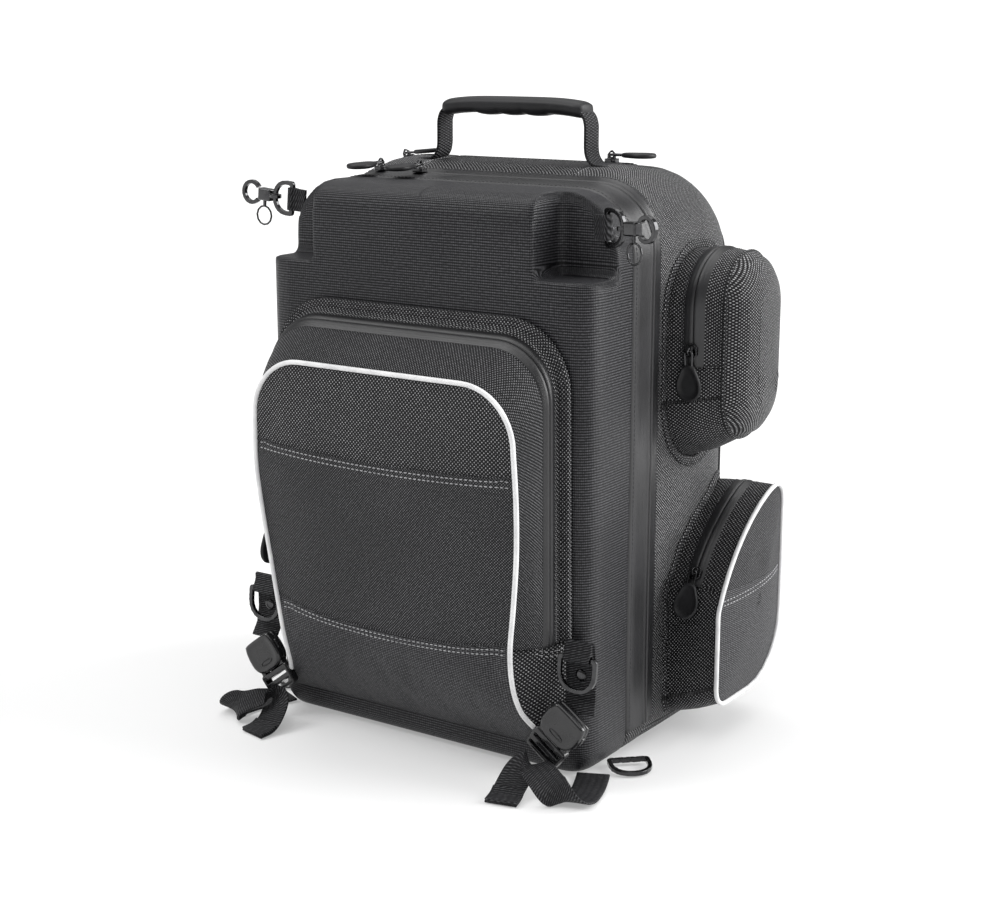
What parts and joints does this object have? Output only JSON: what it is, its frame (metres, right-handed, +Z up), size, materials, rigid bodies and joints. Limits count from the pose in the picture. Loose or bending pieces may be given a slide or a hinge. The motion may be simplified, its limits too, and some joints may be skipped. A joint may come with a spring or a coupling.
{
  "type": "motorcycle tail bag",
  "caption": "Upright soft tail bag with a moulded clamshell front, drop-down front pocket, side pockets, carrying handle, lashing rings, snap shackles and buckled straps.",
  "frame": {"origin": "centre of the flat base, on the floor", "axes": "+Z up, -Y towards the moulded front and its pocket, +X to the right seen from the front"},
  "size_m": [0.423, 0.2914, 0.491],
  "materials": {
    "shell_fabric": "fine horizontal rib, satin",
    "ballistic_fabric": "coarse ballistic weave, matte",
    "zipper_tape": "smooth coated tape, satin",
    "stiffener": "matte",
    "webbing": "ribbed webbing, matte",
    "soft_rubber": "moulded, matte",
    "black_nickel": "polished black nickel",
    "buckle_plastic": "glossy moulded"
  },
  "bodies": {
    "bag_body": {"base_panel": "ballistic_fabric", "top_panel": "ballistic_fabric", "side_gusset_right": "ballistic_fabric", "side_gusset_left": "ballistic_fabric", "back_panel": "ballistic_fabric", "base_board": "stiffener", "upper_pocket_base_right": "ballistic_fabric", "upper_pocket_base_left": "ballistic_fabric", "lower_pocket_base_right": "ballistic_fabric", "lower_pocket_base_left": "ballistic_fabric"},
    "front_shell": {"shell_tray": "shell_fabric", "shell_zipper_band": "zipper_tape", "front_pocket_base": "ballistic_fabric", "front_webbing_right": "webbing", "front_webbing_left": "webbing", "corner_tab_right": "webbing", "corner_tab_left": "webbing", "buckle_socket_right": "buckle_plastic", "buckle_socket_left": "buckle_plastic", "strap_right": "webbing", "strap_left": "webbing"},
    "front_cover": {"front_pocket_cover": "ballistic_fabric"},
    "handle": {"handle_webbing": "webbing", "handle_grip": "soft_rubber"},
    "main_zip_left_slider": {"main_zip_left_slider": "black_nickel"},
    "main_zip_left_pull": {"main_zip_left_pull": "soft_rubber"},
    "main_zip_right_slider": {"main_zip_right_slider": "black_nickel"},
    "main_zip_right_pull": {"main_zip_right_pull": "soft_rubber"},
    "rear_zip_left_slider": {"rear_zip_left_slider": "black_nickel"},
    "rear_zip_left_pull": {"rear_zip_left_pull": "soft_rubber"},
    "rear_zip_right_slider": {"rear_zip_right_slider": "black_nickel"},
    "rear_zip_right_pull": {"rear_zip_right_pull": "soft_rubber"},
    "front_pocket_slider": {"front_pocket_slider": "black_nickel"},
    "front_pocket_pull": {"front_pocket_pull": "soft_rubber"},
    "upper_cover_right": {"upper_pocket_cover_right": "ballistic_fabric"},
    "lower_cover_right": {"lower_pocket_cover_right": "ballistic_fabric"},
    "upper_pocket_right_slider": {"upper_pocket_right_slider": "black_nickel"},
    "upper_pocket_right_pull": {"upper_pocket_right_pull": "soft_rubber"},
    "lower_pocket_right_slider": {"lower_pocket_right_slider": "black_nickel"},
    "lower_pocket_right_pull": {"lower_pocket_right_pull": "soft_rubber"},
    "upper_cover_left": {"upper_pocket_cover_left": "ballistic_fabric"},
    "lower_cover_left": {"lower_pocket_cover_left": "ballistic_fabric"},
    "upper_pocket_left_slider": {"upper_pocket_left_slider": "black_nickel"},
    "upper_pocket_left_pull": {"upper_pocket_left_pull": "soft_rubber"},
    "lower_pocket_left_slider": {"lower_pocket_left_slider": "black_nickel"},
    "lower_pocket_left_pull": {"lower_pocket_left_pull": "soft_rubber"},
    "corner_ring_left": {"corner_ring_left": "black_nickel"},
    "shackle_left": {"shackle_body_left": "black_nickel"},
    "shackle_jaw_left": {"shackle_jaw_left": "black_nickel"},
    "shackle_plunger_left": {"shackle_plunger_left": "black_nickel"},
    "corner_ring_right": {"corner_ring_right": "black_nickel"},
    "shackle_right": {"shackle_body_right": "black_nickel"},
    "shackle_jaw_right": {"shackle_jaw_right": "black_nickel"},
    "shackle_plunger_right": {"shackle_plunger_right": "black_nickel"},
    "base_ring_right": {"base_ring_right": "black_nickel"},
    "front_ring_right": {"front_ring_right": "black_nickel"},
    "buckle_plug_right": {"buckle_plug_right": "buckle_plastic"},
    "base_ring_left": {"base_ring_left": "black_nickel"},
    "front_ring_left": {"front_ring_left": "black_nickel"},
    "buckle_plug_left": {"buckle_plug_left": "buckle_plastic"}
  },
  "joints": [
    {"name": "shell_hinge", "type": "hinge", "parent": "bag_body", "child": "front_shell", "pos_m": [0, -0.023, 0], "axis": [1, 0, 0], "range_deg": [0, 90]},
    {"name": "front_cover_hinge", "type": "hinge", "parent": "front_shell", "child": "front_cover", "pos_m": [0, -0.1555, 0.108], "axis": [1, 0, 0], "range_deg": [0, 75]},
    {"name": "handle_fold", "type": "hinge", "parent": "bag_body", "child": "handle", "pos_m": [0, 0.02, 0.4522], "axis": [1, 0, 0], "range_deg": [-60, 60]},
    {"name": "main_zip_left_run", "type": "hinge", "parent": "bag_body", "child": "main_zip_left_slider", "pos_m": [-0.1, -0.024, 0.3835], "axis": [0, -1, 0], "range_deg": [0, 28]},
    {"name": "main_zip_left_swing", "type": "hinge", "parent": "main_zip_left_slider", "child": "main_zip_left_pull", "pos_m": [-0.1, -0.024, 0.4396], "axis": [-1, 0, 0], "range_deg": [0, 100]},
    {"name": "main_zip_right_run", "type": "slide", "parent": "bag_body", "child": "main_zip_right_slider", "axis": [1, 0, 0], "range_m": [0, 0.15]},
    {"name": "main_zip_right_swing", "type": "hinge", "parent": "main_zip_right_slider", "child": "main_zip_right_pull", "pos_m": [-0.062, -0.024, 0.4396], "axis": [-1, 0, 0], "range_deg": [0, 100]},
    {"name": "rear_zip_left_run", "type": "hinge", "parent": "bag_body", "child": "rear_zip_left_slider", "pos_m": [-0.101, 0.042, 0.3927], "axis": [0, 1, 0], "range_deg": [-40, 0]},
    {"name": "rear_zip_left_swing", "type": "hinge", "parent": "rear_zip_left_slider", "child": "rear_zip_left_pull", "pos_m": [-0.12421, 0.042, 0.4424], "axis": [0, -1, 0], "range_deg": [0, 100]},
    {"name": "rear_zip_right_run", "type": "slide", "parent": "bag_body", "child": "rear_zip_right_slider", "axis": [1, 0, 0], "range_m": [-0.085, 0.012]},
    {"name": "rear_zip_right_swing", "type": "hinge", "parent": "rear_zip_right_slider", "child": "rear_zip_right_pull", "pos_m": [0.074, 0.042, 0.4482], "axis": [0, -1, 0], "range_deg": [0, 100]},
    {"name": "front_pocket_run", "type": "slide", "parent": "front_shell", "child": "front_pocket_slider", "axis": [0, 0, 1], "range_m": [0, 0.11]},
    {"name": "front_pocket_swing", "type": "hinge", "parent": "front_pocket_slider", "child": "front_pocket_pull", "pos_m": [-0.1359, -0.13, 0.165], "axis": [0, 1, 0], "range_deg": [0, 110]},
    {"name": "upper_cover_hinge_right", "type": "hinge", "parent": "bag_body", "child": "upper_cover_right", "pos_m": [0.21, 0.048, 0.297], "axis": [0, 1, 0], "range_deg": [0, 65]},
    {"name": "lower_cover_hinge_right", "type": "hinge", "parent": "bag_body", "child": "lower_cover_right", "pos_m": [0.201, 0.057, 0.124], "axis": [0, 1, 0], "range_deg": [0, 65]},
    {"name": "upper_pocket_right_run", "type": "slide", "parent": "bag_body", "child": "upper_pocket_right_slider", "axis": [0, 0, 1], "range_m": [-0.018, 0.022]},
    {"name": "upper_pocket_right_swing", "type": "hinge", "parent": "upper_pocket_right_slider", "child": "upper_pocket_right_pull", "pos_m": [0.17, -0.0062, 0.31], "axis": [-1, 0, 0], "range_deg": [0, 110]},
    {"name": "lower_pocket_right_run", "type": "hinge", "parent": "lower_cover_right", "child": "lower_pocket_right_slider", "pos_m": [0.17, 0.14, 0.048], "axis": [-1, 0, 0], "range_deg": [0, 28]},
    {"name": "lower_pocket_right_swing", "type": "hinge", "parent": "lower_pocket_right_slider", "child": "lower_pocket_right_pull", "pos_m": [0.17, 0.01052, 0.13682], "axis": [-1, 0, 0], "range_deg": [0, 100]},
    {"name": "upper_cover_hinge_left", "type": "hinge", "parent": "bag_body", "child": "upper_cover_left", "pos_m": [-0.21, 0.048, 0.297], "axis": [0, -1, 0], "range_deg": [0, 65]},
    {"name": "lower_cover_hinge_left", "type": "hinge", "parent": "bag_body", "child": "lower_cover_left", "pos_m": [-0.201, 0.057, 0.124], "axis": [0, -1, 0], "range_deg": [0, 65]},
    {"name": "upper_pocket_left_run", "type": "slide", "parent": "bag_body", "child": "upper_pocket_left_slider", "axis": [0, 0, 1], "range_m": [-0.018, 0.022]},
    {"name": "upper_pocket_left_swing", "type": "hinge", "parent": "upper_pocket_left_slider", "child": "upper_pocket_left_pull", "pos_m": [-0.17, -0.0062, 0.31], "axis": [-1, 0, 0], "range_deg": [0, 110]},
    {"name": "lower_pocket_left_run", "type": "hinge", "parent": "lower_cover_left", "child": "lower_pocket_left_slider", "pos_m": [-0.17, 0.14, 0.048], "axis": [-1, 0, 0], "range_deg": [0, 28]},
    {"name": "lower_pocket_left_swing", "type": "hinge", "parent": "lower_pocket_left_slider", "child": "lower_pocket_left_pull", "pos_m": [-0.17, 0.01052, 0.13682], "axis": [-1, 0, 0], "range_deg": [0, 100]},
    {"name": "corner_ring_swing_left", "type": "hinge", "parent": "front_shell", "child": "corner_ring_left", "pos_m": [-0.161, -0.062, 0.41], "axis": [0.0896, 0, 0.996], "range_deg": [-40, 60]},
    {"name": "shackle_swing_left", "type": "hinge", "parent": "corner_ring_left", "child": "shackle_left", "pos_m": [-0.17853, -0.062, 0.41158], "axis": [0.0896, 0, 0.996], "range_deg": [-35, 35]},
    {"name": "shackle_jaw_open_left", "type": "hinge", "parent": "shackle_left", "child": "shackle_jaw_left", "pos_m": [-0.19553, -0.062, 0.41793], "axis": [0, 1, 0], "range_deg": [0, 75]},
    {"name": "shackle_plunger_pull_left", "type": "slide", "parent": "shackle_left", "child": "shackle_plunger_left", "axis": [-0.0896, 0, -0.996], "range_m": [0, 0.004], "stiffness_N_per_m": 400},
    {"name": "corner_ring_swing_right", "type": "hinge", "parent": "front_shell", "child": "corner_ring_right", "pos_m": [0.144, -0.082, 0.407], "axis": [-0.047, 0.017, 0.9988], "range_deg": [-50, 15]},
    {"name": "shackle_swing_right", "type": "hinge", "parent": "corner_ring_right", "child": "shackle_right", "pos_m": [0.16053, -0.08798, 0.40788], "axis": [-0.047, 0.017, 0.9988], "range_deg": [-35, 35]},
    {"name": "shackle_jaw_open_right", "type": "hinge", "parent": "shackle_right", "child": "shackle_jaw_right", "pos_m": [0.17674, -0.09384, 0.41355], "axis": [-0.3401, -0.9404, 0], "range_deg": [0, 75]},
    {"name": "shackle_plunger_pull_right", "type": "slide", "parent": "shackle_right", "child": "shackle_plunger_right", "axis": [0.047, -0.017, -0.9988], "range_m": [0, 0.004], "stiffness_N_per_m": 400},
    {"name": "base_ring_swing_right", "type": "hinge", "parent": "front_shell", "child": "base_ring_right", "pos_m": [0.157, -0.063, 0.0042], "axis": [-0.7317, -0.6816, 0], "range_deg": [0, 50]},
    {"name": "front_ring_swing_right", "type": "hinge", "parent": "front_shell", "child": "front_ring_right", "pos_m": [0.148, -0.1225, 0.101], "axis": [-1, 0, 0], "range_deg": [0, 100]},
    {"name": "buckle_release_right", "type": "slide", "parent": "front_shell", "child": "buckle_plug_right", "axis": [-0.6, 0, -0.8], "range_m": [0, 0.024], "deforming": ["strap_right"]},
    {"name": "base_ring_swing_left", "type": "hinge", "parent": "front_shell", "child": "base_ring_left", "pos_m": [-0.157, -0.063, 0.0042], "axis": [-0.7317, 0.6816, 0], "range_deg": [0, 50]},
    {"name": "front_ring_swing_left", "type": "hinge", "parent": "front_shell", "child": "front_ring_left", "pos_m": [-0.148, -0.1225, 0.101], "axis": [-1, 0, 0], "range_deg": [0, 100]},
    {"name": "buckle_release_left", "type": "slide", "parent": "front_shell", "child": "buckle_plug_left", "axis": [0.6, 0, -0.8], "range_m": [0, 0.024], "deforming": ["strap_left"]}
  ]
}
